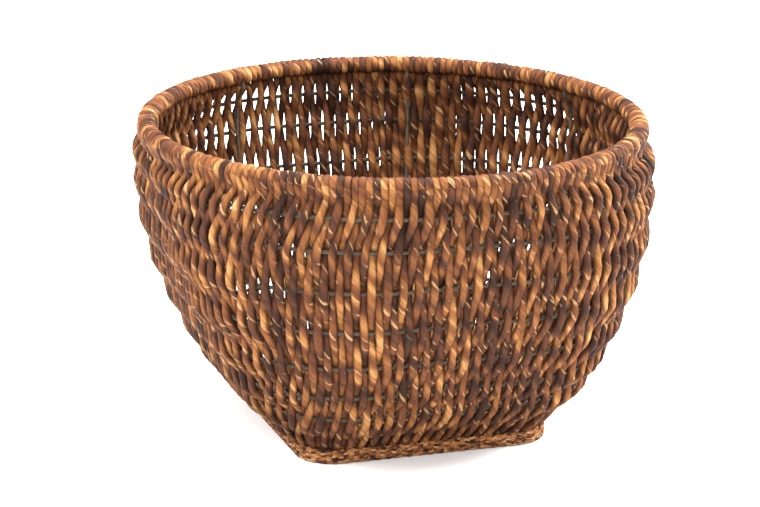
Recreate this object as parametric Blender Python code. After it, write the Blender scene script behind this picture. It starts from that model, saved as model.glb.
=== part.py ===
"""A woven fruit basket: a round rim and a square foot, woven with twisted plant fibre on a steel wire frame.

The frame is a rim ring, seven hoops, a base ring, eight ribs and five floor wires, each a piece of its own.
Twisted fibre strands stand side by side all round it and pass in front of and behind the hoops in turn. Here
they are joined into eight wall panels, four flat sides and four fanned corners, with a tunnel for every hoop.
The strands' ends are bound over the rim ring, a woven floor lies in the base ring, and a flat plait edges
the foot. Metres, +Z up, the origin on the ground under the middle, the flat sides facing X and Y.
"""

import math

import bmesh
import bpy
from mathutils import Vector

# Driving dimensions
HEIGHT = 0.1864            # ground to the top of the bound rim
RIM_RADIUS = 0.150         # outside of the bound rim
BINDING_RADIUS = 0.0058    # the rim rod with the fibre bound over it
RIM_ROD_RADIUS = 0.0025
HOOP_RADIUS = 0.0012       # wire of the hoops, ribs and floor
BASE_WIRE_RADIUS = 0.0015
WALL_THICKNESS = 0.0104    # two strands with a hoop between them
FOOT_HALF_SIDE = 0.0767
FOOT_CORNER = 0.0223
PLAIT_HEIGHT = 0.0092
PLAIT_THICKNESS = 0.0038
PLAIT_BEVEL = 0.0008
FLOOR_TOP = 0.0082
FLOOR_BOTTOM = 0.0022
FLOOR_WIRE_PITCH = 0.022
FLOOR_WIRES = 5
PLAIT_ROOM = 0.0012        # between the base ring and the plait, where the strands' ends are tucked
FLOOR_ROOM = 0.0007        # between the base ring and the woven floor
CLEARANCE = 0.0003         # between pieces that touch

# The wall's outside: half the width across its flat sides, from the foot up
PROFILE = ((0.009, 0.0785), (0.0207, 0.0942), (0.0466, 0.1126), (0.0777, 0.1280),
           (0.1087, 0.1395), (0.1398, 0.1466), (0.1657, 0.1499), (0.1864, 0.1485))
SQUARENESS = 0.49          # how far the section's corners have sharpened at the ground
SQUARE_POWER = 0.77
HOOP_HEIGHTS = (0.1633, 0.1444, 0.1201, 0.0953, 0.0712, 0.0505, 0.0341)

# Divisions of the meshes
SECTORS = 8                # four sides and four corners
STEPS_PER_SECTOR = 5
WALL_LEVELS = 11
WIRE_SIDES = 6
TUNNEL_SIDES = 4
BINDING_SIDES = 8
CORNER_STEPS = 6

# Places worked out from them
RING_RADIUS = RIM_RADIUS - BINDING_RADIUS
RING_HEIGHT = HEIGHT - BINDING_RADIUS
SLEEVE_RADIUS = RIM_ROD_RADIUS + 2 * CLEARANCE
WALL_TOP = RING_HEIGHT - BINDING_RADIUS - CLEARANCE
WALL_BOTTOM = PLAIT_HEIGHT + CLEARANCE
TUNNEL_RADIUS = (HOOP_RADIUS + CLEARANCE) / math.cos(math.pi / TUNNEL_SIDES)
RIB_GAP = HOOP_RADIUS + CLEARANCE
BASE_RING_HALF = FOOT_HALF_SIDE - PLAIT_THICKNESS - PLAIT_ROOM - BASE_WIRE_RADIUS
BASE_RING_HEIGHT = (FLOOR_TOP + FLOOR_BOTTOM) / 2
FLOOR_HALF = BASE_RING_HALF - BASE_WIRE_RADIUS - FLOOR_ROOM
RIB_BEND_HEIGHT = 0.018    # where a rib leaves the wall's curve for the base ring
SECTOR_ANGLE = math.tau / SECTORS
SECTOR_NAMES = ("right", "back_right", "back", "back_left",
                "left", "front_left", "front", "front_right")


# ---------------------------------------------------------------- the basket's form

def half_side(height):
    """Half the width across the flats at a height: a smooth curve through the profile's points."""
    points = PROFILE
    last = len(points) - 2
    index = 0
    while index < last and height > points[index + 1][0]:
        index += 1
    before = points[max(index - 1, 0)]
    start, end = points[index], points[index + 1]
    after = points[min(index + 2, last + 1)]
    span = end[0] - start[0]
    slope_in = (end[1] - before[1]) / (end[0] - before[0]) * span
    slope_out = (after[1] - start[1]) / (after[0] - start[0]) * span
    t = (height - start[0]) / span
    return ((2 * t ** 3 - 3 * t ** 2 + 1) * start[1] + (t ** 3 - 2 * t ** 2 + t) * slope_in
            + (3 * t ** 2 - 2 * t ** 3) * end[1] + (t ** 3 - t ** 2) * slope_out)


def corner_radius(height):
    """The radius of the section's corners: the whole half side at the rim, where it is a circle."""
    depth = max(1 - height / HEIGHT, 0)
    return half_side(height) * (1 - SQUARENESS * depth ** SQUARE_POWER)


def square_radius(half, corner, angle):
    """How far a rounded square reaches from its middle in the direction of an angle."""
    along, across = abs(math.cos(angle)), abs(math.sin(angle))
    along, across = max(along, across), min(along, across)
    middle = half - corner
    if across * half <= middle * along:
        return half / along
    reach = middle * (along + across)
    return reach + math.sqrt(reach ** 2 - 2 * middle ** 2 + corner ** 2)


def lean(height):
    """The wall's lean from upright, as an angle."""
    step = 0.001
    return math.atan2(half_side(height + step) - half_side(height - step), 2 * step)


def wall_point(angle, height, depth):
    """A point of the wall, its depth measured square to the wall from the outside."""
    tilt = lean(height)
    radius = square_radius(half_side(height), corner_radius(height), angle) - depth * math.cos(tilt)
    return Vector((radius * math.cos(angle), radius * math.sin(angle), height + depth * math.sin(tilt)))


def hoop_reach(angle, height):
    """How far out a hoop at this height lies: in the middle of the wall."""
    outside = square_radius(half_side(height), corner_radius(height), angle)
    return outside - WALL_THICKNESS / 2 / math.cos(lean(height))


def station_angles(sector=None):
    """The angles at which rings and panels have their points: all round, or those of one sector."""
    steps = range(SECTORS * STEPS_PER_SECTOR)
    if sector is not None:
        first = sector * STEPS_PER_SECTOR
        steps = range(first, first + STEPS_PER_SECTOR + 1)
    return [(step / STEPS_PER_SECTOR - 0.5) * SECTOR_ANGLE for step in steps]


def rounded_square(half, corner):
    """The outline of a rounded square, anticlockwise, as points on the ground."""
    points = []
    for quarter in range(4):
        for step in range(CORNER_STEPS + 1):
            angle = (quarter + step / CORNER_STEPS) * math.pi / 2
            centre = (quarter + 0.5) * math.pi / 2
            reach = (half - corner) * math.sqrt(2)
            points.append(Vector((reach * math.cos(centre) + corner * math.cos(angle),
                                  reach * math.sin(centre) + corner * math.sin(angle), 0)))
    return points


# ---------------------------------------------------------------- mesh helpers

def material(name, colour, roughness, metallic=0.0):
    made = bpy.data.materials.new(name)
    made.use_nodes = True
    made.diffuse_color = (*colour, 1)
    shader = made.node_tree.nodes["Principled BSDF"]
    shader.inputs["Base Color"].default_value = (*colour, 1)
    shader.inputs["Roughness"].default_value = roughness
    shader.inputs["Metallic"].default_value = metallic
    return made


def add_object(name, mesh, finish, smooth_angle=40):
    mesh.materials.append(finish)
    mesh.shade_smooth()
    mesh.set_sharp_from_angle(angle=math.radians(smooth_angle))
    piece = bpy.data.objects.new(name, mesh)
    bpy.context.collection.objects.link(piece)
    return piece


def skin(shape, loops, closed):
    """Faces between neighbouring loops of points, and between the last and the first if closed."""
    count = len(loops)
    for index in range(count if closed else count - 1):
        near, far = loops[index], loops[(index + 1) % count]
        for side in range(len(near)):
            following = (side + 1) % len(near)
            shape.faces.new((near[side], near[following], far[following], far[side]))


def swept(name, stations, finish, closed=False):
    """A solid of one section carried through its stations, each a loop of points."""
    shape = bmesh.new()
    loops = [[shape.verts.new(point) for point in station] for station in stations]
    skin(shape, loops, closed)
    if not closed:
        shape.faces.new(loops[0])
        shape.faces.new(loops[-1])
    return finished(name, shape, finish)


def finished(name, shape, finish):
    bmesh.ops.recalc_face_normals(shape, faces=shape.faces)
    mesh = bpy.data.meshes.new(name)
    shape.to_mesh(mesh)
    shape.free()
    return add_object(name, mesh, finish)


def circle(centre, outward, upward, radius, sides):
    """A loop of points round a centre, in the plane of two directions."""
    turns = [math.tau * side / sides for side in range(sides)]
    return [centre + outward * (radius * math.cos(turn)) + upward * (radius * math.sin(turn))
            for turn in turns]


def ring_stations(path, radius, sides, turned=0.0):
    """Sections round a level closed path: each stands in the plane that halves its corner."""
    stations = []
    for index, point in enumerate(path):
        ahead = path[(index + 1) % len(path)] - point
        behind = point - path[index - 1]
        half_turn = ahead.angle(behind) / 2
        forward = (ahead.normalized() + behind.normalized()).normalized()
        outward = Vector((forward.y, -forward.x, 0))
        stretch = 1 / math.cos(half_turn)
        turns = [math.tau * side / sides + turned for side in range(sides)]
        stations.append([point + outward * (radius * stretch * math.cos(turn))
                         + Vector((0, 0, radius * math.sin(turn))) for turn in turns])
    return stations


def wire(name, path, aside, radius, finish):
    """A round wire along an open path that lies in one plane, square to the direction aside."""
    stations = []
    for index, point in enumerate(path):
        forward = (path[min(index + 1, len(path) - 1)] - path[max(index - 1, 0)]).normalized()
        stations.append(circle(point, aside, forward.cross(aside), radius, WIRE_SIDES))
    return swept(name, stations, finish)


def cut(piece, cutter):
    """Takes a cutter's shape out of a piece, and hides the cutter."""
    cutter.hide_render = True
    cutter.display_type = "WIRE"
    taking = piece.modifiers.new("tunnels", "BOOLEAN")
    taking.operation = "DIFFERENCE"
    taking.solver = "EXACT"
    taking.object = cutter


# ---------------------------------------------------------------- the wire frame

def hoop_path(height):
    angles = station_angles()
    reaches = [hoop_reach(angle, height) for angle in angles]
    return [Vector((reach * math.cos(angle), reach * math.sin(angle), height))
            for angle, reach in zip(angles, reaches)]


def add_hoops(steel):
    for number, height in enumerate(HOOP_HEIGHTS, start=1):
        stations = ring_stations(hoop_path(height), HOOP_RADIUS, WIRE_SIDES)
        swept(f"wire_hoop_{number}", stations, steel, closed=True)


def rim_path():
    return [Vector((RING_RADIUS * math.cos(angle), RING_RADIUS * math.sin(angle), RING_HEIGHT))
            for angle in station_angles()]


def add_rim_ring(steel):
    swept("rim_ring", ring_stations(rim_path(), RIM_ROD_RADIUS, BINDING_SIDES), steel, closed=True)


def base_ring_corner():
    return FOOT_CORNER - (FOOT_HALF_SIDE - BASE_RING_HALF)


def base_ring_path():
    lift = Vector((0, 0, BASE_RING_HEIGHT))
    return [point + lift for point in rounded_square(BASE_RING_HALF, base_ring_corner())]


def add_base_ring(steel):
    swept("base_ring", ring_stations(base_ring_path(), BASE_WIRE_RADIUS, WIRE_SIDES), steel, closed=True)


def add_ribs(steel):
    """Upright wires welded inside the rim ring and the hoops, standing on the base ring."""
    inset = 2 * HOOP_RADIUS + CLEARANCE
    for number in range(SECTORS):
        angle = (number + 0.5) * SECTOR_ANGLE
        out = Vector((math.cos(angle), math.sin(angle), 0))
        foot_reach = square_radius(BASE_RING_HALF, base_ring_corner(), angle)
        path = [out * foot_reach + Vector((0, 0, BASE_RING_HEIGHT + BASE_WIRE_RADIUS + HOOP_RADIUS))]
        path += [out * (hoop_reach(angle, height) - inset / math.cos(lean(height))) + Vector((0, 0, height))
                 for height in (RIB_BEND_HEIGHT, *reversed(HOOP_HEIGHTS))]
        top_reach = RING_RADIUS - RIM_ROD_RADIUS - HOOP_RADIUS - CLEARANCE / math.cos(math.pi / SECTORS)
        path += [out * top_reach + Vector((0, 0, height)) for height in (WALL_TOP, RING_HEIGHT)]
        wire(f"frame_rib_{number + 1}", path, Vector((-out.y, out.x, 0)), HOOP_RADIUS, steel)


def floor_wire_offsets():
    return [(number - (FLOOR_WIRES - 1) / 2) * FLOOR_WIRE_PITCH for number in range(FLOOR_WIRES)]


def add_floor_wires(steel):
    reach = FLOOR_HALF + CLEARANCE
    for number, offset in enumerate(floor_wire_offsets(), start=1):
        ends = [Vector((side * reach, offset, BASE_RING_HEIGHT)) for side in (-1, 1)]
        wire(f"floor_wire_{number}", ends, Vector((0, 1, 0)), HOOP_RADIUS, steel)


# ---------------------------------------------------------------- the weaving

def hoop_tunnels(finish):
    """One cutter with a ring round every hoop, a clearance wider than the wire."""
    shape = bmesh.new()
    for height in HOOP_HEIGHTS:
        stations = ring_stations(hoop_path(height), TUNNEL_RADIUS, TUNNEL_SIDES)
        skin(shape, [[shape.verts.new(point) for point in station] for station in stations], True)
    return finished("hoop_tunnels", shape, finish)


def panel_stations(sector):
    """Upright sections of one wall panel, drawn back at both ends to leave room for the ribs."""
    angles = station_angles(sector)
    levels = [WALL_BOTTOM + (WALL_TOP - WALL_BOTTOM) * level / (WALL_LEVELS - 1)
              for level in range(WALL_LEVELS)]
    stations = []
    for index, angle in enumerate(angles):
        turned = {0: RIB_GAP, len(angles) - 1: -RIB_GAP}.get(index, 0)
        aside = Vector((-math.sin(angle), math.cos(angle), 0)) * turned
        outside = [wall_point(angle, level, 0) + aside for level in levels]
        inside = [wall_point(angle, level, WALL_THICKNESS) + aside for level in reversed(levels)]
        inside[0].z = outside[-1].z
        inside[-1].z = outside[0].z
        stations.append(outside + inside)
    return stations


def add_walls(fibre, fan_fibre):
    cutter = hoop_tunnels(fibre)
    for sector, name in enumerate(SECTOR_NAMES):
        finish = fan_fibre if "_" in name else fibre
        cut(swept(f"wall_{name}", panel_stations(sector), finish), cutter)


def add_rim_bindings(fibre):
    """The strands' ends bound round the rim rod, as a sleeve in eight lengths with the ribs between."""
    for sector, name in enumerate(SECTOR_NAMES):
        angles = station_angles(sector)
        outer, inner = [], []
        for index, angle in enumerate(angles):
            out = Vector((math.cos(angle), math.sin(angle), 0))
            turned = {0: RIB_GAP, len(angles) - 1: -RIB_GAP}.get(index, 0)
            centre = out * RING_RADIUS + Vector((-out.y, out.x, 0)) * turned + Vector((0, 0, RING_HEIGHT))
            upward = Vector((0, 0, 1))
            outer.append(circle(centre, out, upward, BINDING_RADIUS, BINDING_SIDES))
            inner.append(circle(centre, out, upward, SLEEVE_RADIUS, BINDING_SIDES))
        shape = bmesh.new()
        outside = [[shape.verts.new(point) for point in loop] for loop in outer]
        inside = [[shape.verts.new(point) for point in loop] for loop in inner]
        skin(shape, outside, False)
        skin(shape, inside, False)
        for end in (0, -1):
            skin(shape, [outside[end], inside[end]], False)
        finished(f"rim_binding_{name}", shape, fibre)


def floor_tunnels(finish):
    """One cutter with a bar round every floor wire, longer than the floor is wide."""
    shape = bmesh.new()
    reach = FLOOR_HALF + WALL_THICKNESS
    for offset in floor_wire_offsets():
        ends = [circle(Vector((side * reach, offset, BASE_RING_HEIGHT)), Vector((0, 1, 0)),
                       Vector((0, 0, 1)), TUNNEL_RADIUS, TUNNEL_SIDES) for side in (-1, 1)]
        loops = [[shape.verts.new(point) for point in loop] for loop in ends]
        skin(shape, loops, False)
        shape.faces.new(loops[0])
        shape.faces.new(loops[1])
    return finished("floor_tunnels", shape, finish)


def add_floor(fibre):
    outline = rounded_square(FLOOR_HALF, FOOT_CORNER - (FOOT_HALF_SIDE - FLOOR_HALF))
    stations = [[point + Vector((0, 0, height)) for point in outline]
                for height in (FLOOR_BOTTOM, FLOOR_TOP)]
    cut(swept("woven_floor", stations, fibre), floor_tunnels(fibre))


def add_foot_plait(fibre):
    """A flat plait on edge round the foot. The basket stands on its lower edge."""
    outside = rounded_square(FOOT_HALF_SIDE, FOOT_CORNER)
    inside = rounded_square(FOOT_HALF_SIDE - PLAIT_THICKNESS, FOOT_CORNER - PLAIT_THICKNESS)
    top = Vector((0, 0, PLAIT_HEIGHT))
    lift = Vector((0, 0, PLAIT_BEVEL))
    stations = []
    for outer, inner in zip(outside, inside):
        across = (inner - outer).normalized() * PLAIT_BEVEL
        stations.append([outer + across, outer + lift, outer + top - lift, outer + across + top,
                         inner - across + top, inner + top - lift, inner + lift, inner - across])
    swept("foot_plait", stations, fibre, closed=True)


# ---------------------------------------------------------------- assembly

def clear_scene():
    for item in list(bpy.data.objects):
        bpy.data.objects.remove(item)


def build():
    clear_scene()
    steel = material("painted_wire", (0.075, 0.068, 0.052), 0.5, 0.4)
    side_fibre = material("twisted_fibre", (0.23, 0.095, 0.045), 0.75)
    fan_fibre = material("twisted_fibre_corner", (0.20, 0.085, 0.042), 0.75)
    rim_fibre = material("rim_fibre", (0.32, 0.15, 0.07), 0.7)
    floor_fibre = material("floor_fibre", (0.17, 0.075, 0.04), 0.8)
    plait_fibre = material("plaited_fibre", (0.42, 0.20, 0.09), 0.75)
    add_rim_ring(steel)
    add_hoops(steel)
    add_base_ring(steel)
    add_ribs(steel)
    add_floor_wires(steel)
    add_walls(side_fibre, fan_fibre)
    add_rim_bindings(rim_fibre)
    add_floor(floor_fibre)
    add_foot_plait(plait_fibre)


build()
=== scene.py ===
"""A fruit basket of twisted banana fibre, woven on a painted wire frame, with a plaited foot."""

import math
import random

import bpy
import numpy as np
from mathutils import Matrix, Vector


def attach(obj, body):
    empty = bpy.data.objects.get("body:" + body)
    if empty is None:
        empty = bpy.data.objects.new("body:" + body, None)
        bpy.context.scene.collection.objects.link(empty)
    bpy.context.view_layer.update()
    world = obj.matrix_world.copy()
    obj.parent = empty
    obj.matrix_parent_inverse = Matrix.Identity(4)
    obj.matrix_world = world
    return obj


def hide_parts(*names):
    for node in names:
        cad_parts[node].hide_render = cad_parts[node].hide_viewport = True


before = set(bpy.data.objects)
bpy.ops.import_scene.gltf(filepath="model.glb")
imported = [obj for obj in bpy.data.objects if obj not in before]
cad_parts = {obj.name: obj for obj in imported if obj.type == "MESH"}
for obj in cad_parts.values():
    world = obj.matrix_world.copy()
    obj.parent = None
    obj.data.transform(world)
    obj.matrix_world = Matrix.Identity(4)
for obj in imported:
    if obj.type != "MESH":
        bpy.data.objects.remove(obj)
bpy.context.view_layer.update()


# ---------------------------------------------------------------------------------------------------------
# The wire frame. Seven level hoops, a thick rim rod, a base ring, eight upright ribs and five floor wires,
# all round steel wire welded at the crossings and dipped in dark brown-grey paint. The basket's form is the
# frame's form: a square foot with round corners that swells and rounds off to a circle at the rim.

HEIGHT = 0.1864
WALL_THICKNESS = 0.0104
PROFILE = ((0.009, 0.0785), (0.0207, 0.0942), (0.0466, 0.1126), (0.0777, 0.1280),
           (0.1087, 0.1395), (0.1398, 0.1466), (0.1657, 0.1499), (0.1864, 0.1485))   # height, half side
SQUARENESS = 0.49
SQUARE_POWER = 0.77
HOOP_HEIGHTS = (0.1633, 0.1444, 0.1201, 0.0953, 0.0712, 0.0505, 0.0341)
HOOP_RADIUS = 0.0012
HOOP_POINTS = 288
WIRE_SIDES = 12
WIRE_PAINT = (0.042, 0.029, 0.019)
WIRE_DUST = (0.084, 0.059, 0.039)
WIRE_RUST = (0.070, 0.030, 0.014)


def mix(start, end, share):
    return start + (end - start) * share


def smooth(share):
    share = min(max(share, 0), 1)
    return share * share * (3 - 2 * share)


def half_side(height):
    """Half the basket's outside width at a height: a smooth curve through the profile's points."""
    last = len(PROFILE) - 2
    index = 0
    while index < last and height > PROFILE[index + 1][0]:
        index += 1
    before, start = PROFILE[max(index - 1, 0)], PROFILE[index]
    end, after = PROFILE[index + 1], PROFILE[min(index + 2, last + 1)]
    span = end[0] - start[0]
    slope_in = (end[1] - before[1]) / (end[0] - before[0]) * span
    slope_out = (after[1] - start[1]) / (after[0] - start[0]) * span
    t = (height - start[0]) / span
    return ((2 * t**3 - 3 * t**2 + 1) * start[1] + (t**3 - 2 * t**2 + t) * slope_in
            + (3 * t**2 - 2 * t**3) * end[1] + (t**3 - t**2) * slope_out)


def corner_radius(height):
    depth = max(1 - height / HEIGHT, 0)
    return half_side(height) * (1 - SQUARENESS * depth**SQUARE_POWER)


def lean(height):
    """How far the wall leans outward from upright."""
    step = 0.001
    return math.atan2(half_side(height + step) - half_side(height - step), 2 * step)


def wall_section(height):
    """The wall's middle line at a height: half of a side's straight part, and the corner radius."""
    depth = WALL_THICKNESS / 2 / math.cos(lean(height))
    return half_side(height) - corner_radius(height), corner_radius(height) - depth


def quarter_length(section):
    return 2 * section[0] + math.pi / 2 * section[1]


def outline(section, arc):
    """Place and outward direction on a rounded square, an arc length from the middle of its right side."""
    straight, corner = section
    quarter = quarter_length(section)
    turns = math.floor(arc / quarter + 0.5)
    arc -= turns * quarter
    bend = max(abs(arc) - straight, 0) / corner
    along = math.copysign(min(abs(arc), straight) + corner * math.sin(bend), arc)
    turn = Matrix.Rotation(turns * math.pi / 2, 3, "Z")
    place = turn @ Vector((straight + corner * math.cos(bend), along, 0))
    outward = turn @ Vector((math.cos(bend), math.copysign(math.sin(bend), arc), 0))
    return place, outward


def put(tree, kind, *wiring, **settings):
    """Adds a node, wired in order to sockets or given values, and returns its first output."""
    node = tree.nodes.new(kind)
    for name, value in settings.items():
        setattr(node, name, value)
    for socket, source in zip([s for s in node.inputs if s.enabled], wiring):
        if isinstance(source, bpy.types.NodeSocket):
            tree.links.new(source, socket)
        elif source is not None:
            socket.default_value = source
    return next((s for s in node.outputs if s.enabled), node)


def maths(tree, operation, *wiring):
    return put(tree, "ShaderNodeMath", *wiring, operation=operation)


def new_form(name, **inputs):
    """An empty geometry tree with named inputs, and its input sockets."""
    tree = bpy.data.node_groups.new(name, "GeometryNodeTree")
    tree.interface.new_socket("Guides", in_out="INPUT", socket_type="NodeSocketGeometry")
    for label, kind in inputs.items():
        tree.interface.new_socket(label.replace("_", " "), in_out="INPUT", socket_type="NodeSocket" + kind)
    tree.interface.new_socket("Finish", in_out="INPUT", socket_type="NodeSocketMaterial")
    tree.interface.new_socket("Piece", in_out="OUTPUT", socket_type="NodeSocketGeometry")
    return tree, tree.nodes.new("NodeGroupInput").outputs


def end_form(tree, inputs, shape):
    shaded = put(tree, "GeometryNodeSetShadeSmooth", shape)
    real = put(tree, "GeometryNodeRealizeInstances", shaded)
    finished = put(tree, "GeometryNodeSetMaterial", real, None, inputs["Finish"])
    put(tree, "NodeGroupOutput", finished)
    return tree


def grow(name, form, finish, points, edges, facts, sizes):
    """Runs a geometry tree over guide lines and leaves its result as a plain mesh."""
    guides = bpy.data.meshes.new(name)
    guides.from_pydata(points, edges, [])
    for label, values in facts.items():
        kind = "FLOAT_VECTOR" if isinstance(values[0], Vector) else "FLOAT"
        layer = guides.attributes.new(label, kind, "POINT")
        if kind == "FLOAT":
            layer.data.foreach_set("value", values)
        else:
            layer.data.foreach_set("vector", [number for value in values for number in value])
    piece = bpy.data.objects.new(name, guides)
    bpy.context.scene.collection.objects.link(piece)
    growing = piece.modifiers.new("grow", "NODES")
    growing.node_group = form
    wanted = dict(sizes, Finish=finish)
    for socket in form.interface.items_tree:
        if socket.in_out == "INPUT" and socket.name in wanted:
            growing[socket.identifier] = wanted[socket.name]
    view = bpy.context.evaluated_depsgraph_get()
    grown = bpy.data.meshes.new_from_object(piece.evaluated_get(view), preserve_all_data_layers=True,
                                            depsgraph=view)
    piece.modifiers.clear()
    piece.data = grown
    return piece


def chain(count, first=0, closed=False):
    links = [(first + index, first + index + 1) for index in range(count - 1)]
    return links + [(first + count - 1, first)] if closed else links


def new_finish(name, roughness, specular):
    finish = bpy.data.materials.new(name)
    finish.use_nodes = True
    tree = finish.node_tree
    surface = tree.nodes["Principled BSDF"]
    surface.inputs["Roughness"].default_value = roughness
    surface.inputs["Specular IOR Level"].default_value = specular
    return finish, tree, surface


def ramp(tree, source, stops):
    colours = put(tree, "ShaderNodeValToRGB", source).node
    band = colours.color_ramp
    while len(band.elements) < len(stops):
        band.elements.new(0.5)
    for element, (place, colour) in zip(band.elements, stops):
        element.position = place
        element.color = (*colour, 1)
    return colours.outputs["Color"]


def wire_finish():
    """Dipped paint on steel: a soft sheen, dust in patches, and a few rusty chips."""
    finish, tree, surface = new_finish("frame_paint", 0.6, 0.2)
    place = put(tree, "ShaderNodeTexCoord").node.outputs["Object"]
    dust = put(tree, "ShaderNodeTexNoise", place, 160.0, 4.0, 0.6)
    chips = put(tree, "ShaderNodeTexNoise", place, 420.0, 2.0, 0.5)
    painted = ramp(tree, dust, ((0.42, WIRE_PAINT), (0.68, WIRE_DUST)))
    chipped = put(tree, "ShaderNodeMapRange", chips, 0.66, 0.72, 0.0, 1.0)
    coloured = tree.nodes.new("ShaderNodeMix")
    coloured.data_type = "RGBA"
    tree.links.new(chipped, coloured.inputs["Factor"])
    tree.links.new(painted, coloured.inputs["A"])
    coloured.inputs["B"].default_value = (*WIRE_RUST, 1)
    tree.links.new(coloured.outputs["Result"], surface.inputs["Base Color"])
    rough = put(tree, "ShaderNodeMapRange", dust, 0.3, 0.7, 0.50, 0.80)
    tree.links.new(rough, surface.inputs["Roughness"])
    bumps = put(tree, "ShaderNodeBump", 0.25, 0.0002, None, chips)
    tree.links.new(bumps, surface.inputs["Normal"])
    return finish


def round_wire():
    tree, inputs = new_form("round wire", Radius="Float", Sides="Int")
    line = put(tree, "GeometryNodeMeshToCurve", inputs["Guides"])
    section = put(tree, "GeometryNodeCurvePrimitiveCircle", inputs["Sides"])
    tree.links.new(inputs["Radius"], section.node.inputs["Radius"])
    wire = put(tree, "GeometryNodeCurveToMesh", line, section)
    wire.node.inputs["Fill Caps"].default_value = True
    return end_form(tree, inputs, wire)


paint = wire_finish()
wire_form = round_wire()
for number, height in enumerate(HOOP_HEIGHTS, start=1):
    level = wall_section(height)
    step = 4 * quarter_length(level) / HOOP_POINTS
    points = [outline(level, index * step)[0] + Vector((0, 0, height)) for index in range(HOOP_POINTS)]
    hoop = grow(f"hoop_{number}", wire_form, paint, points, chain(HOOP_POINTS, closed=True), {},
                {"Radius": HOOP_RADIUS, "Sides": WIRE_SIDES})
    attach(hoop, "root")
    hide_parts(f"wire_hoop_{number}")

for name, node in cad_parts.items():
    if name.startswith(("rim_ring", "base_ring", "frame_rib", "floor_wire")):
        node.data.materials.clear()
        node.data.materials.append(paint)


# ---------------------------------------------------------------------------------------------------------
# The wall and the bound rim. About 230 upright strands of twisted dried banana leaf go in front of one hoop
# and behind the next, in turn with their neighbours; some are let in at the corners, where the frame widens.
# They are bound over the rim rod at the top, and tucked round the base ring behind the plait at the bottom.

SIDES = ("right", "back", "left", "front")
CORNERS = ("back_right", "back_left", "front_left", "front_right")   # the corner after each side
GATHER_AT = {"right": 0.010, "back": 0.0, "left": -0.015, "front": -0.028}   # where a side's strands converge
SIDE_REACH = 13                # a side has this many strands to each side of its middle one
CORNER_STRANDS = 30            # strands in a corner at the rim
FOOT_STRANDS = 14              # those of them that start at the foot; the rest are let in two by two
# the first and the last place across a corner where a pair is let in
LET_IN = {"back_right": (2, 27), "back_left": (2, 27), "front_left": (1, 21), "front_right": (5, 28)}
LET_IN_OVER = 5                # strands that come in beside a pair while it grows to its full width
PITCHES = ((0.004, 0.0032), (0.05, 0.0036), (0.10, 0.0040), (0.145, 0.0041))   # height, strand to strand
CORNER_COUNTS = ((0.0035, 14), (0.02, 16.5), (0.05, 22.7), (0.10, 27.4), (0.13, 30))   # height, strands
SWEEPS = ((-135, 38, -0.009), (-40, 30, 0.003))   # degrees round, reach, and how far a strand bows aside
RING_RADIUS = 0.1442
RING_HEIGHT = 0.1806
WRAP_RADIUS = 0.00415          # from the rod's middle to the middle of a strand bound over it
WRAP_FROM = 0.0
WRAP_TO = math.radians(250)
WRAP_STEPS = 20
BASE_SECTION = (0.0544, 0.0158)
FOOT_END = 0.0035
FOOT_BEND = 0.0055             # height over which a strand comes out from the base ring
PLAIT_TOP = 0.009
FOOT_FLARE = 0.0035            # the strands lean out over the top edge of the plait
FLARE_FADE = 0.013             # height over which they lean back
FOOT_STRAIGHT = 0.0515         # and follow its corners there
RIM_GATHER = 0.164             # from here up the wall closes on the rim rod
STRAND_STEP = 0.0015
TUCK_HEIGHT = 0.0125           # where the lowest row of strands goes in behind the plait
WEAVE_DEPTH = 0.0032
USUAL_PITCH = 0.0041
RIM_DIP = 1.0                  # how far the outer strands draw in just under the bound rim
BOW_START, BOW_RISE = 0.05, 0.08       # the heights where a bow aside grows
BOW_END, BOW_FALL = 0.176, 0.035       # and where it has died away
WEAVE_START, WEAVE_RISE = 0.008, 0.012     # the weave opens to its full depth just above the plait
CREST = 0.98                   # the bend over a wire: near 0 an even wave, 1 a sharp fold
CROWDING = 0.2                 # how much the strands thin where they crowd together
BOUND_DEPTH = 0.74             # a strand pressed on the rod, against its usual depth
LEAST_FULL = 0.03              # a strand let in thinner than this isn't there yet
STRAND_SIZES = (0.89, 1.11)    # the thinnest and the thickest, against the usual one
LOOSE_PLACES = ((107, 13, 0.20), (64, 20, -0.13))   # degrees round, reach, how much thinner

# dried leaf, from the dark midrib to the sun-bleached edge
LEAF = ((0.30, (0.020, 0.009, 0.006)), (0.40, (0.041, 0.016, 0.009)), (0.50, (0.082, 0.028, 0.012)),
        (0.58, (0.130, 0.047, 0.016)), (0.67, (0.212, 0.088, 0.027)), (0.76, (0.330, 0.168, 0.062)))
LEAF_PALE = (0.370, 0.210, 0.092)
RIM_PAINTED_LIGHT = 0.012              # painted light: the strands are painted this much paler towards the top of the rim, where light from above falls
LEAF_SHADOW = (0.018, 0.008, 0.005)


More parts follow.
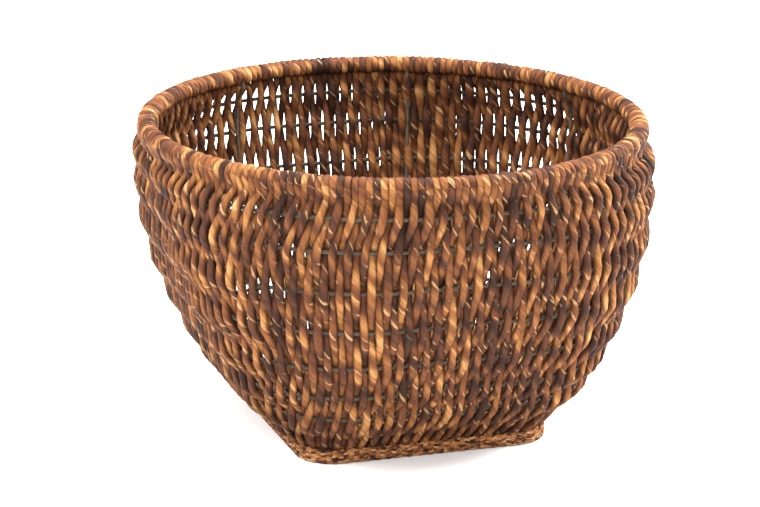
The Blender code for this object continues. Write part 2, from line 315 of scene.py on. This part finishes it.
def leaf_finish(name, stops, lighter, patch=0.026):
    """Twisted dried leaf: patches along a strand, fine fibres and folds that run round with the twist."""
    finish, tree, surface = new_finish(name, 0.65, 0.06)
    fibre = put(tree, "ShaderNodeAttribute", attribute_name="fibre").node.outputs["Vector"]
    seed = put(tree, "ShaderNodeAttribute", attribute_name="seed").node.outputs["Fac"]

    def pattern(around, length, turn, detail, roughness=0.55):
        scaled = put(tree, "ShaderNodeVectorMath", fibre, (around, around, 1 / length), operation="MULTIPLY")
        shifted = maths(tree, "MULTIPLY_ADD", seed, 57.0, turn)
        return put(tree, "ShaderNodeTexNoise", scaled, shifted, 1.0, detail, roughness, noise_dimensions="4D")

    patches = pattern(0.30, patch, 0.0, 1.5)
    streaks = pattern(2.4, 0.050, 11.0, 3.0)
    threads = pattern(9.0, 0.080, 23.0, 2.0)
    folds = pattern(0.8, 0.012, 31.0, 1.0)
    tone = maths(tree, "MULTIPLY_ADD", maths(tree, "SUBTRACT", streaks, 0.5), 0.30, patches)
    tone = maths(tree, "MULTIPLY_ADD", maths(tree, "SUBTRACT", threads, 0.5), 0.22, tone)
    tone = maths(tree, "MULTIPLY_ADD", maths(tree, "SUBTRACT", seed, 0.5), 0.20, tone)
    # painted light: the strands' tone rises towards the top of the rim, where light from above falls
    height = put(tree, "ShaderNodeSeparateXYZ", put(tree, "ShaderNodeTexCoord").node.outputs["Object"])
    rim = put(tree, "ShaderNodeMapRange", height.node.outputs["Z"], 0.170, 0.181, lighter,
              lighter + RIM_PAINTED_LIGHT)
    tone = maths(tree, "ADD", tone, rim)
    leaf = ramp(tree, tone, stops)

    # the folds of the twisted band: four sharp creases round a strand, two of them pale-lipped in places
    parts = put(tree, "ShaderNodeSeparateXYZ", fibre).node.outputs
    angle = maths(tree, "ARCTAN2", parts["Y"], parts["X"])
    bent = maths(tree, "MULTIPLY_ADD", maths(tree, "SUBTRACT", folds, 0.5), 3.2, angle)
    ridge = maths(tree, "ABSOLUTE", maths(tree, "SINE", maths(tree, "MULTIPLY", bent, 2.0)))
    crease = put(tree, "ShaderNodeMapRange", ridge, 0.0, 0.35, 1.0, 0.0)
    pale_here = put(tree, "ShaderNodeMapRange", pattern(0.4, 0.008, 43.0, 1.0), 0.53, 0.59, 0.0, 0.68)
    edge = maths(tree, "ABSOLUTE", maths(tree, "SINE", bent))
    lip = maths(tree, "MULTIPLY", put(tree, "ShaderNodeMapRange", edge, 0.34, 0.14, 0.0, 1.0), pale_here)
    shadow = maths(tree, "MULTIPLY", crease, 0.30)

    def blended(share, under, over):
        layer = tree.nodes.new("ShaderNodeMix")
        layer.data_type = "RGBA"
        tree.links.new(share, layer.inputs["Factor"])
        tree.links.new(under, layer.inputs["A"])
        layer.inputs["B"].default_value = (*over, 1)
        return layer.outputs["Result"]

    coloured = blended(lip, blended(shadow, leaf, LEAF_SHADOW), LEAF_PALE)
    # painted shade: a strand's sides are darkened towards LEAF_SHADOW, where its neighbours would shade it
    side = put(tree, "ShaderNodeAttribute", attribute_name="side").node.outputs["Fac"]
    coloured = blended(put(tree, "ShaderNodeMapRange", side, 0.62, 0.98, 0.0, 0.70), coloured, LEAF_SHADOW)
    tree.links.new(coloured, surface.inputs["Base Color"])
    rough = put(tree, "ShaderNodeMapRange", streaks, 0.3, 0.7, 0.50, 0.78)
    tree.links.new(rough, surface.inputs["Roughness"])
    relief = maths(tree, "MULTIPLY_ADD", threads, 0.35, maths(tree, "POWER", ridge, 0.6))
    bumps = put(tree, "ShaderNodeBump", 0.55, 0.0003, None, relief)
    tree.links.new(bumps, surface.inputs["Normal"])
    return finish


def twisted_strand():
    """Strands along guide lines: lifted off the line where they pass a wire, oval, twisted and uneven."""
    tree, inputs = new_form("twisted strand", Weave_Depth="Float", Width_at_Wire="Float",
                            Depth_at_Wire="Float", Width_at_Crossing="Float", Depth_at_Crossing="Float",
                            Twist_Pitch="Float", Ridges="Int", Ridge_Height="Float", Unevenness="Float",
                            Wander="Float", Sides="Int", Seed="Int")

    def fact(name, kind="FLOAT"):
        return put(tree, "GeometryNodeInputNamedAttribute", name, data_type=kind)

    def vectors(operation, *wiring):
        return put(tree, "ShaderNodeVectorMath", *wiring, operation=operation)

    def keep(shape, name, value, kind="FLOAT_VECTOR"):
        stored = tree.nodes.new("GeometryNodeStoreNamedAttribute")
        stored.data_type = kind
        stored.inputs["Name"].default_value = name
        tree.links.new(shape, stored.inputs["Geometry"])
        tree.links.new(value, stored.inputs["Value"])
        return stored.outputs["Geometry"]

    def wavering(length, turn):
        """A slow noise along a strand, its own for every strand."""
        along = maths(tree, "DIVIDE", fact("along"), length)
        place = put(tree, "ShaderNodeCombineXYZ", along, turn, inputs["Seed"])
        own = maths(tree, "MULTIPLY", fact("seed"), 91.0)
        return put(tree, "ShaderNodeTexNoise", place, own, 1.0, 1.0, noise_dimensions="4D")

    outward = fact("outward", "FLOAT_VECTOR")
    lifted = vectors("SCALE", outward)
    tree.links.new(maths(tree, "MULTIPLY", fact("lift"), inputs["Weave Depth"]), lifted.node.inputs["Scale"])
    drift = vectors("SUBTRACT", wavering(0.03, 0.0).node.outputs["Color"], (0.5, 0.5, 0.5))
    drifted = vectors("SCALE", drift)
    tree.links.new(inputs["Wander"], drifted.node.inputs["Scale"])
    moved = put(tree, "GeometryNodeSetPosition", inputs["Guides"])
    tree.links.new(vectors("ADD", lifted, drifted), moved.node.inputs["Offset"])

    line = put(tree, "GeometryNodeMeshToCurve", moved)
    tangent = put(tree, "GeometryNodeInputTangent")
    line = keep(line, "aside", vectors("NORMALIZE", vectors("CROSS_PRODUCT", tangent, outward)))
    line = keep(line, "outer", vectors("NORMALIZE", vectors("CROSS_PRODUCT", fact("aside", "FLOAT_VECTOR"),
                                                             tangent)))
    line = keep(line, "centre", put(tree, "GeometryNodeInputPosition"))
    circle = put(tree, "GeometryNodeCurvePrimitiveCircle", inputs["Sides"])
    circle.node.inputs["Radius"].default_value = 0.001
    circle = keep(circle, "around", put(tree, "GeometryNodeSplineParameter"), "FLOAT")
    tube = put(tree, "GeometryNodeCurveToMesh", line, circle)
    tube.node.inputs["Fill Caps"].default_value = True

    angle = maths(tree, "MULTIPLY", fact("around"), math.tau)
    twist = maths(tree, "DIVIDE", math.tau, inputs["Twist Pitch"])
    helix = maths(tree, "MULTIPLY_ADD", fact("along"), twist, angle)
    ridge = maths(tree, "COSINE", maths(tree, "MULTIPLY", helix, inputs["Ridges"]))
    ridged = maths(tree, "MULTIPLY_ADD", ridge, inputs["Ridge Height"], 1.0)
    swell = maths(tree, "SUBTRACT", wavering(0.009, 5.0), 0.5)
    swollen = maths(tree, "MULTIPLY_ADD", swell, inputs["Unevenness"], 1.0)
    thickness = maths(tree, "MULTIPLY", maths(tree, "MULTIPLY", ridged, swollen), fact("slim"))
    spread = fact("spread")
    wide = put(tree, "ShaderNodeMapRange", spread, 0.0, 1.0, inputs["Width at Crossing"],
               inputs["Width at Wire"])
    deep = put(tree, "ShaderNodeMapRange", spread, 0.0, 1.0, inputs["Depth at Crossing"],
               inputs["Depth at Wire"])
    wide = maths(tree, "MULTIPLY", maths(tree, "MULTIPLY", wide, thickness), maths(tree, "SINE", angle))
    deep = maths(tree, "MULTIPLY", maths(tree, "MULTIPLY", deep, thickness), fact("flat"))
    deep = maths(tree, "MULTIPLY", deep, maths(tree, "COSINE", angle))
    sideways = vectors("SCALE", fact("aside", "FLOAT_VECTOR"))
    tree.links.new(wide, sideways.node.inputs["Scale"])
    outwards = vectors("SCALE", fact("outer", "FLOAT_VECTOR"))
    tree.links.new(deep, outwards.node.inputs["Scale"])
    surface = vectors("ADD", fact("centre", "FLOAT_VECTOR"), vectors("ADD", sideways, outwards))
    shaped = put(tree, "GeometryNodeSetPosition", tube)
    tree.links.new(surface, shaped.node.inputs["Position"])
    twisted = put(tree, "ShaderNodeCombineXYZ", maths(tree, "COSINE", helix), maths(tree, "SINE", helix),
                  fact("along"))
    shaped = keep(shaped, "fibre", twisted)
    # how far round to its side a point lies, used by the leaf finish for the painted shade along a strand's
    # sides
    shaped = keep(shaped, "side", maths(tree, "ABSOLUTE", maths(tree, "SINE", angle)), "FLOAT")
    for name in ("aside", "outer", "centre", "around", "outward", "lift", "spread", "slim", "flat", "along"):
        shaped = put(tree, "GeometryNodeRemoveAttribute", shaped, None, name)
    return end_form(tree, inputs, shaped)


class Strands:
    """Guide lines gathered for one piece, with what the strand form needs to know at each point."""

    def __init__(self):
        self.points = []
        self.edges = []
        names = ("outward", "lift", "spread", "slim", "flat", "seed", "along")
        self.facts = {name: [] for name in names}

    def add(self, line, seed, closed=False):
        """A line is a list of (place, outward, lift, spread, slim, flat)."""
        self.edges += chain(len(line), len(self.points), closed)
        along = 0.0
        for index, (place, *facts) in enumerate(line):
            if index:
                along += (place - line[index - 1][0]).length
            self.points.append(place)
            for name, value in zip(self.facts, (*facts, seed, along)):
                self.facts[name].append(value)

    def grow(self, name, finish, sizes):
        return grow(name, strand_form, finish, self.points, self.edges, self.facts, sizes)


def strand_section(height):
    """The strands' middle line: the base ring at the foot, the wall above it, the rim rod at the top."""
    wall = wall_section(max(height, PROFILE[0][0]))
    foot = smooth((height - FOOT_END) / FOOT_BEND)
    rim = smooth((height - RIM_GATHER) / (RING_HEIGHT - 0.002 - RIM_GATHER))
    flare = 1 - smooth((height - PLAIT_TOP) / FLARE_FADE)
    flat = mix(wall[0], FOOT_STRAIGHT, flare)
    turned = sum(wall) + FOOT_FLARE * flare - flat
    straight = mix(mix(BASE_SECTION[0], flat, foot), 0.0, rim)
    corner = mix(mix(BASE_SECTION[1], turned, foot), RING_RADIUS, rim)
    return straight, corner


def profile_levels(bottom, top, step):
    """Heights from bottom to top that are a step apart along the wall's slope, and that length."""
    levels = [(0.0, bottom)]
    travelled, height, rise = 0.0, bottom, 0.0001
    while height < top:
        section, above = strand_section(height), strand_section(height + rise)
        travelled += math.hypot(rise, sum(above) - sum(section))
        height += rise
        if travelled - levels[-1][0] >= step:
            levels.append((travelled, height))
    return levels


def strand_pitch(height):
    pitches = PITCHES + ((WRAP_START, RIM_PITCH),)
    index = 0
    while index < len(pitches) - 2 and height > pitches[index + 1][0]:
        index += 1
    (low, start), (high, end) = pitches[index], pitches[index + 1]
    return mix(start, end, smooth((height - low) / (high - low)) * 0.5 + 0.5 * (height - low) / (high - low))


def side_arc(side, rank, height):
    """Where a side's strand lies, from the middle of the side."""
    gather = GATHER_AT[side]
    return gather + (rank * RIM_PITCH - gather) * strand_pitch(height) / RIM_PITCH


def let_in_order(corner):
    """For each strand of a corner, when it is let in: None from the foot, or a pair's turn."""
    low, high = LET_IN[corner]
    pairs = (CORNER_STRANDS - FOOT_STRANDS) // 2
    order = [None] * (CORNER_STRANDS + 1)
    for index in range(pairs):
        rank = low + round(index * (high - low) / (pairs - 1))
        order[rank] = order[rank + 1] = (index * 5) % pairs
    return order[1:]


def corner_arcs(quadrant, height):
    """Where a corner's strands lie, from the middle of the side before it, and how full each one is."""
    start = side_arc(SIDES[quadrant], SIDE_REACH, height)
    end = quarter_length(strand_section(height)) + side_arc(SIDES[(quadrant + 1) % 4], -SIDE_REACH, height)
    wanted = np.interp(height, *zip(*CORNER_COUNTS))
    last_start = CORNER_STRANDS - LET_IN_OVER - FOOT_STRANDS
    pairs = (CORNER_STRANDS - FOOT_STRANDS) // 2
    full = []
    for turn in let_in_order(CORNERS[quadrant]):
        begins = None if turn is None else FOOT_STRANDS + last_start * turn / (pairs - 1)
        full.append(1.0 if turn is None else smooth((wanted - begins) / LET_IN_OVER))
    step = (end - start) / (sum(full) + 1)
    arcs, passed = [], 0.5
    for share in full:
        arcs.append((start + step * (passed + share / 2), share))
        passed += share
    return arcs


WRAP_START = RING_HEIGHT + WRAP_RADIUS * math.sin(WRAP_FROM)
RIM_PITCH = math.pi / 2 * RING_RADIUS / (2 * SIDE_REACH + CORNER_STRANDS + 1)
LEVELS = profile_levels(FOOT_END, WRAP_START, STRAND_STEP)
CROSSINGS = (TUCK_HEIGHT, *reversed(HOOP_HEIGHTS))
CROSSED_AT = [min(LEVELS, key=lambda level: abs(level[1] - height))[0] for height in CROSSINGS]


def weave_phase(travelled):
    """How many wires a strand has passed on its way up, as a number that grows evenly between them."""
    if travelled <= CROSSED_AT[0]:
        return 0.0
    for index in range(len(CROSSED_AT) - 1):
        if travelled <= CROSSED_AT[index + 1]:
            return index + (travelled - CROSSED_AT[index]) / (CROSSED_AT[index + 1] - CROSSED_AT[index])
    return float(len(CROSSED_AT) - 1)


def near(place, spots):
    """The sum of smooth bumps round the basket, each with its middle and reach in degrees and its height."""
    angle = math.degrees(math.atan2(place.y, place.x))
    return sum(height * math.exp(-((angle - middle) / reach)**2) for middle, reach, height in spots)


def wall_strand(quadrant, arcs, parity, size):
    """One strand's guide line, from its start up the wall and over the rim rod."""
    line = []
    outer = math.cos(math.pi * (len(CROSSED_AT) - 1 + parity))
    for (travelled, height), (arc, full) in zip(LEVELS, arcs):
        if full < LEAST_FULL:
            continue
        section = strand_section(height)
        arc += quadrant * quarter_length(section)
        bow = smooth((height - BOW_START) / BOW_RISE) * smooth((BOW_END - height) / BOW_FALL)
        place, flat_out = outline(section, arc + bow * near(outline(section, arc)[0], SWEEPS))
        rim = (travelled - CROSSED_AT[-1]) / (LEVELS[-1][0] - CROSSED_AT[-1])
        dip = RIM_DIP * max(outer, 0) * math.sin(math.pi * min(max(rim, 0), 1))**2
        rim = smooth(rim)
        tilt = lean(max(height, PROFILE[0][0])) * smooth((height - 0.003) / 0.006) * (1 - rim)
        outward = flat_out * math.cos(tilt) - Vector((0, 0, math.sin(tilt)))
        phase = math.pi * (weave_phase(travelled) + parity)
        wave = math.asin(CREST * math.cos(phase)) / math.asin(CREST)
        lift = wave * mix(0.15, 1.0, smooth((height - WEAVE_START) / WEAVE_RISE))
        lift = mix(mix(-0.6, lift, smooth(full)), WRAP_RADIUS * math.cos(WRAP_FROM) / WEAVE_DEPTH, rim) - dip
        slim = size * mix(0.35, 1.0, full) * (strand_pitch(height) / USUAL_PITCH)**CROWDING
        flat = mix(mix(0.5, 1.0, smooth((height - 0.005) / 0.006)), BOUND_DEPTH, rim)
        spread = wave * wave * (1 - rim) * (1 - dip / RIM_DIP)
        slim *= 1 - near(place, LOOSE_PLACES) * mix(0.5, 1.0, spread)
        line.append((place + Vector((0, 0, height)), outward, lift, spread, slim, flat))
    rim_slim = size * (RIM_PITCH / USUAL_PITCH)**CROWDING
    quarter, lower_quarter = [quarter_length(strand_section(LEVELS[index][1])) for index in (-1, -6)]
    slant = (arcs[-1][0] - arcs[-6][0] * quarter / lower_quarter) / (LEVELS[-1][0] - LEVELS[-6][0])
    for index in range(1, WRAP_STEPS + 1):
        turn = mix(WRAP_FROM, WRAP_TO, index / WRAP_STEPS)
        arc = arcs[-1][0] + slant * WRAP_RADIUS * (turn - WRAP_FROM)
        place, flat_out = outline((0.0, RING_RADIUS), arc + quadrant * math.pi / 2 * RING_RADIUS)
        outward = flat_out * math.cos(turn) + Vector((0, 0, math.sin(turn)))
        centre = place + Vector((0, 0, RING_HEIGHT)) + outward * WRAP_RADIUS
        end = mix(1.0, 0.45, smooth((index - WRAP_STEPS + 4) / 4))
        line.append((centre, outward, 0.0, 0.0, rim_slim * end, BOUND_DEPTH))
    return line


strand_form = twisted_strand()
wall_leaf = leaf_finish("wall_leaf", LEAF, 0.0)
WALL_STRAND = {"Weave Depth": WEAVE_DEPTH, "Width at Wire": 0.00255, "Depth at Wire": 0.0021,
               "Width at Crossing": 0.00235, "Depth at Crossing": 0.0022, "Twist Pitch": 0.0157,
               "Ridges": 3, "Ridge Height": 0.055, "Unevenness": 0.45, "Wander": 0.0012, "Sides": 12,
               "Seed": 4}
chance = random.Random(11)
for quadrant, (side, corner) in enumerate(zip(SIDES, CORNERS)):
    side_strands, corner_strands = Strands(), Strands()
    for index, rank in enumerate(range(-SIDE_REACH, SIDE_REACH + 1)):
        arcs = [(side_arc(side, rank, height), 1.0) for travelled, height in LEVELS]
        line = wall_strand(quadrant, arcs, index + quadrant, chance.uniform(*STRAND_SIZES))
        side_strands.add(line, chance.random())
    for index, arcs in enumerate(zip(*[corner_arcs(quadrant, height) for travelled, height in LEVELS])):
        parity = 2 * SIDE_REACH + 1 + index + quadrant
        line = wall_strand(quadrant, arcs, parity, chance.uniform(*STRAND_SIZES))
        corner_strands.add(line, chance.random())
    for name, strands in ((side, side_strands), (corner, corner_strands)):
        piece = strands.grow(f"strands_{name}", wall_leaf, WALL_STRAND)
        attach(piece, "root")
        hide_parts(f"wall_{name}", f"rim_binding_{name}")


# ---------------------------------------------------------------------------------------------------------
# The woven floor. Strands of the same leaf, laid side by side from front to back, go over one floor wire and
# under the next. Their ends are tucked in round the base ring, against the foot of the wall.

FLOOR_HEIGHT = 0.0052
FLOOR_HALF = 0.0725
FLOOR_CORNER = 0.0170
FLOOR_WIRE_PITCH = 0.022
FLOOR_PITCH = 0.0036
FLOOR_STEP = 0.002
FLOOR_REACH = 19               # strands to each side of the middle one
FLOOR_ENDS = 0.006             # the length over which a strand thins at its ends


def floor_strand(across, parity, size):
    reach = FLOOR_HALF - 0.0004
    inset = max(abs(across) + 0.0018 - (FLOOR_HALF - FLOOR_CORNER), 0)
    reach -= FLOOR_CORNER - math.sqrt(max(FLOOR_CORNER**2 - inset**2, 0))
    steps = max(round(2 * reach / FLOOR_STEP), 4)
    line = []
    for index in range(steps + 1):
        along = mix(-reach, reach, index / steps)
        wave = math.cos(math.pi * (along / FLOOR_WIRE_PITCH + parity))
        fade = smooth((reach - abs(along)) / FLOOR_ENDS)
        line.append((Vector((across, along, FLOOR_HEIGHT)), Vector((0, 0, 1)), wave * mix(0.4, 1, fade),
                     wave * wave, size * mix(0.6, 1.0, fade), 1.0))
    return line


floor_strands = Strands()
for index in range(-FLOOR_REACH, FLOOR_REACH + 1):
    floor_strands.add(floor_strand(index * FLOOR_PITCH, index, chance.uniform(0.92, 1.04)), chance.random())
floor_leaf = leaf_finish("floor_leaf", LEAF, 0.02)
woven_floor = floor_strands.grow("floor_strands", floor_leaf, {
    "Weave Depth": 0.0019, "Width at Wire": 0.0021, "Depth at Wire": 0.0010, "Width at Crossing": 0.00175,
    "Depth at Crossing": 0.0016, "Twist Pitch": 0.0157, "Ridges": 3, "Ridge Height": 0.055,
    "Unevenness": 0.35, "Wander": 0.0006, "Sides": 10, "Seed": 9})
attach(woven_floor, "root")
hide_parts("woven_floor")


# ---------------------------------------------------------------------------------------------------------
# The foot plait. A flat plait of eleven fine, pale strands stands on edge round the foot and hides the base
# ring and the strands' ends, which it is sewn to.

PLAIT_SECTION = (0.0544, 0.0212)
PLAIT_STRANDS = 11
PLAIT_TURNS = 8                # times a strand goes down and up again on its way round the foot
PLAIT_MIDDLE = 0.0046
PLAIT_SWING = 0.0038
PLAIT_STEPS = 96               # guide points for each of those turns
PLAIT_START = 0.3              # where the plait starts, as a share of the way round
PLAIT_LEAF = ((0.36, (0.020, 0.010, 0.008)), (0.44, (0.052, 0.019, 0.011)), (0.49, (0.140, 0.047, 0.018)),
              (0.55, (0.220, 0.084, 0.028)), (0.63, (0.310, 0.140, 0.050)), (0.72, (0.430, 0.245, 0.115)))


def plait_strand(number, size):
    total = 4 * quarter_length(PLAIT_SECTION)
    count = PLAIT_TURNS * PLAIT_STEPS
    line = []
    for index in range(count):
        turns = index / PLAIT_STEPS + number / PLAIT_STRANDS
        share = turns % 1
        swing = 4 * abs(share - 0.5) - 1
        over = math.cos(math.tau * PLAIT_STRANDS * turns) * min(max(3 * math.sin(math.tau * turns), -1), 1)
        place, outward = outline(PLAIT_SECTION, total * (index / count + PLAIT_START))
        height = PLAIT_MIDDLE + PLAIT_SWING * swing
        line.append((place + Vector((0, 0, height)), outward, over, 1.0, size, 1.0))
    return line


plait = Strands()
for number in range(PLAIT_STRANDS):
    plait.add(plait_strand(number, chance.uniform(0.96, 1.04)), chance.random(), closed=True)
plait_leaf = leaf_finish("plait_leaf", PLAIT_LEAF, 0.03, 0.009)
foot_plait = plait.grow("foot_plait_strands", plait_leaf, {
    "Weave Depth": 0.0006, "Width at Wire": 0.0009, "Depth at Wire": 0.00055, "Width at Crossing": 0.0008,
    "Depth at Crossing": 0.00055, "Twist Pitch": 0.022, "Ridges": 2, "Ridge Height": 0.05,
    "Unevenness": 0.4, "Wander": 0.0003, "Sides": 8, "Seed": 21})
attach(foot_plait, "root")
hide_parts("foot_plait")


# ---------------------------------------------------------------------------------------------------------
# The stand. A pale floor, even light from all round, four large soft lamps at the front, the two sides and
# above, and the camera, which looks down over the rim from the front, a little to the left.

GROUND_COLOUR = (0.93, 0.93, 0.925)
LAMP_AIM = (0, 0, 0.1)


def floor_paint():
    finish, tree, surface = new_finish("studio_floor", 0.9, 0.1)
    place = put(tree, "ShaderNodeTexCoord").node.outputs["Object"]
    speckle = put(tree, "ShaderNodeTexNoise", place, 3.0, 2.0)
    lighter = tuple(min(part * 1.02, 1) for part in GROUND_COLOUR)
    tint = ramp(tree, speckle, ((0.3, GROUND_COLOUR), (0.7, lighter)))
    tree.links.new(tint, surface.inputs["Base Color"])
    return finish


ground = bpy.data.meshes.new("studio_floor")
ground.from_pydata([(-8, -8, 0), (8, -8, 0), (8, 8, 0), (-8, 8, 0)], [], [(0, 1, 2, 3)])
ground.materials.append(floor_paint())
studio_floor = bpy.data.objects.new("studio_floor", ground)
bpy.context.scene.collection.objects.link(studio_floor)
studio_floor.location.z = -0.0002

sky = bpy.data.worlds.new("studio")
bpy.context.scene.world = sky
sky.use_nodes = True
sky.node_tree.nodes["Background"].inputs["Color"].default_value = (1, 1, 1, 1)
sky.node_tree.nodes["Background"].inputs["Strength"].default_value = 1.0


def soft_lamp(name, place, size, power):
    lamp = bpy.data.lights.new(name, "AREA")
    lamp.shape = "DISK"
    lamp.size = size
    lamp.energy = power
    holder = bpy.data.objects.new(name, lamp)
    bpy.context.scene.collection.objects.link(holder)
    holder.location = place
    holder.rotation_euler = (Vector(LAMP_AIM) - Vector(place)).to_track_quat("-Z", "Y").to_euler()


soft_lamp("front_lamp", (-0.6, -1.6, 1.05), 0.8, 26)
soft_lamp("left_lamp", (-1.4, 0.1, 0.9), 0.9, 30)
soft_lamp("right_lamp", (1.4, 0.1, 0.9), 0.9, 80)
soft_lamp("top_lamp", (0.0, 0.1, 1.6), 1.2, 90)

CAMERA_DISTANCE = 2.015
CAMERA_TURN = math.radians(-18.95)
CAMERA_RISE = math.radians(14.30)
CAMERA_ROLL = math.radians(0.63)
LENS = 162.8
AIM_RIGHT = -0.00381           # tangents from the rim's middle to the middle of the view
AIM_UP = -0.04102


def place_camera():
    towards = Vector((math.sin(CAMERA_TURN) * math.cos(CAMERA_RISE),
                      -math.cos(CAMERA_TURN) * math.cos(CAMERA_RISE), math.sin(CAMERA_RISE)))
    across = Vector((math.cos(CAMERA_TURN), math.sin(CAMERA_TURN), 0))
    above = towards.cross(across)
    right = across * math.cos(CAMERA_ROLL) + above * math.sin(CAMERA_ROLL)
    up = above * math.cos(CAMERA_ROLL) - across * math.sin(CAMERA_ROLL)
    ahead = (-towards + right * AIM_RIGHT + up * AIM_UP).normalized()
    right = ahead.cross(up).normalized()
    up = right.cross(ahead)
    lens = bpy.data.cameras.new("camera")
    lens.lens = LENS
    camera = bpy.data.objects.new("camera", lens)
    bpy.context.scene.collection.objects.link(camera)
    camera.matrix_world = Matrix.Translation(Vector((0, 0, HEIGHT)) + towards * CAMERA_DISTANCE) @ Matrix(
        (right, up, -ahead)).transposed().to_4x4()
    bpy.context.scene.camera = camera


place_camera()
bpy.context.scene.view_settings.view_transform = "Standard"
